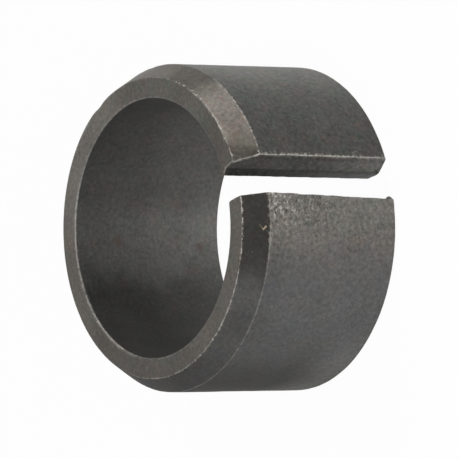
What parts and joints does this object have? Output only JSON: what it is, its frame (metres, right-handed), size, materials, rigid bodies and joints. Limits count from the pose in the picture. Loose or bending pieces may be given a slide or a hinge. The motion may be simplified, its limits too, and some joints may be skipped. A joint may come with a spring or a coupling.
{
  "type": "mounting bushing",
  "caption": "Split mounting bushing: a ring rolled from dark spring steel, with an open slot along its length and a long lead-in chamfer round its leading end.",
  "frame": {"origin": "on the ring's axis, in the plane of the plain end face that it stands on", "axes": "+Z along the axis, towards the chamfered end; the slot opens towards -Y"},
  "size_m": [0.038, 0.0379, 0.021],
  "materials": {
    "blackened_steel": "matte"
  },
  "bodies": {
    "root": {"split_bushing": "blackened_steel"}
  },
  "joints": []
}
